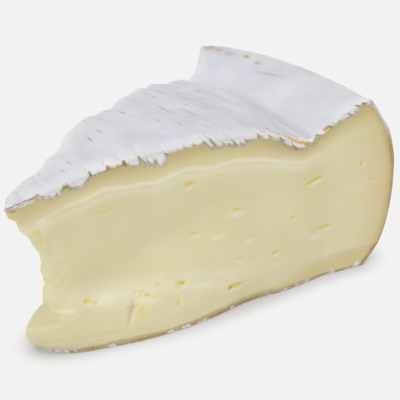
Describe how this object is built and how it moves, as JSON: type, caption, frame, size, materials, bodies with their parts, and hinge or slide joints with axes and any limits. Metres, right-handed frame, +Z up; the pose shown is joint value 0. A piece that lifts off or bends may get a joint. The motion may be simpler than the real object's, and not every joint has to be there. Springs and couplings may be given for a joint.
{
  "type": "brie wedge",
  "caption": "Wedge cut from a small soft-ripened cheese wheel, with a white rind, a slumped pale yellow paste and a few shallow eyes.",
  "frame": {"origin": "centre of the bounding box, at the bottom, where the wedge rests", "axes": "+X from the tip to the rounded heel, +Y from the front cut to the back cut, +Z up"},
  "size_m": [0.1026, 0.064, 0.0488],
  "materials": {
    "brie": "satin"
  },
  "bodies": {
    "root": {"brie_wedge": "brie"}
  },
  "joints": []
}
